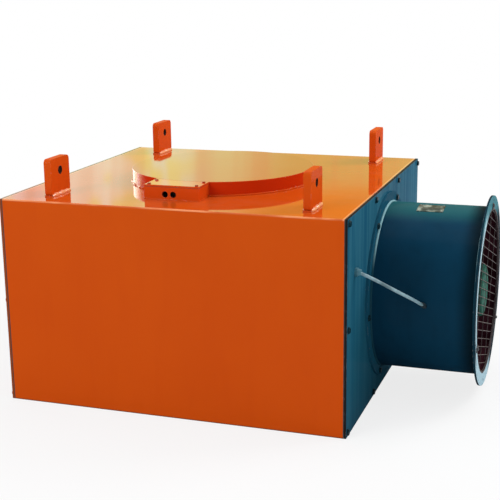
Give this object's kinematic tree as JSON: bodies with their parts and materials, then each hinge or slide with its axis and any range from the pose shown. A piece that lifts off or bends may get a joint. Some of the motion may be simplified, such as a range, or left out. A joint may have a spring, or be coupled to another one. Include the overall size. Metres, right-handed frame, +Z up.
{
  "type": "suspended magnetic separator",
  "caption": "Orange suspended electromagnet with lifting lugs, a junction box on top and a round fan duct on one side.",
  "frame": {"origin": "centre of the working face, level with the case's underside", "axes": "+X along the case towards the fan duct, +Y from the front to the back, +Z up"},
  "size_m": [1.4884, 1.067, 0.783],
  "materials": {
    "orange_paint": "gloss",
    "teal_paint": "gloss",
    "motor_paint": "gloss",
    "zinc_steel": "satin",
    "bare_steel": "satin",
    "core_iron": "matte",
    "cast_aluminium": "satin",
    "plate_metal": "satin",
    "gasket_rubber": "matte",
    "lead_sheath": "matte",
    "insulation": "matte",
    "coil_tape": "matte",
    "moulded_plastic": "matte"
  },
  "bodies": {
    "magnet": {"yoke_case": "orange_paint", "core_cover": "orange_paint", "junction_box": "orange_paint", "junction_lid": "orange_paint", "lifting_lug_front_left": "orange_paint", "lifting_lug_front_right": "orange_paint", "lifting_lug_back_left": "orange_paint", "lifting_lug_back_right": "orange_paint", "outlet_side_cover": "orange_paint", "outlet_louvre": "orange_paint", "outlet_side_bolts": "orange_paint", "fan_side_cover": "teal_paint", "fan_duct": "teal_paint", "motor_spider": "teal_paint", "fan_side_bolts": "teal_paint", "duct_bolts": "teal_paint", "motor_frame": "motor_paint", "motor_terminal_box": "motor_paint", "drive_end_shield": "motor_paint", "outer_end_shield": "motor_paint", "lid_screws": "zinc_steel", "louvre_screws": "zinc_steel", "guard_screws": "zinc_steel", "wire_guard": "zinc_steel", "spider_bolts": "zinc_steel", "terminal_studs": "zinc_steel", "plate_rivets": "zinc_steel", "tie_rods": "zinc_steel", "tie_rod_nuts": "zinc_steel", "bottom_plate": "bare_steel", "bottom_screws": "bare_steel", "drive_end_bearing": "bare_steel", "outer_end_bearing": "bare_steel", "core_bolts": "bare_steel", "shoe_screws": "bare_steel", "centre_core": "core_iron", "pole_shoe": "core_iron", "motor_stator": "core_iron", "coil_carrier": "core_iron", "rating_plate": "plate_metal", "lid_gasket": "gasket_rubber", "fan_side_gasket": "gasket_rubber", "outlet_side_gasket": "gasket_rubber", "lead_bush": "gasket_rubber", "fan_lead": "lead_sheath", "core_sleeve": "insulation", "insulation_board": "insulation", "coil_spacers": "insulation", "pancake_coil_1": "coil_tape", "pancake_coil_2": "coil_tape", "pancake_coil_3": "coil_tape", "pancake_coil_4": "coil_tape", "terminal_block": "moulded_plastic", "lead_through_bushing": "moulded_plastic", "lead_gland": "moulded_plastic"},
    "fan_rotor": {"fan_impeller": "cast_aluminium", "motor_shaft": "bare_steel", "motor_rotor": "core_iron", "impeller_nut": "zinc_steel"}
  },
  "joints": [
    {"name": "fan_spin", "type": "hinge", "parent": "magnet", "child": "fan_rotor", "pos_m": [0.64, 0, 0.336], "axis": [1, 0, 0], "continuous": true}
  ]
}
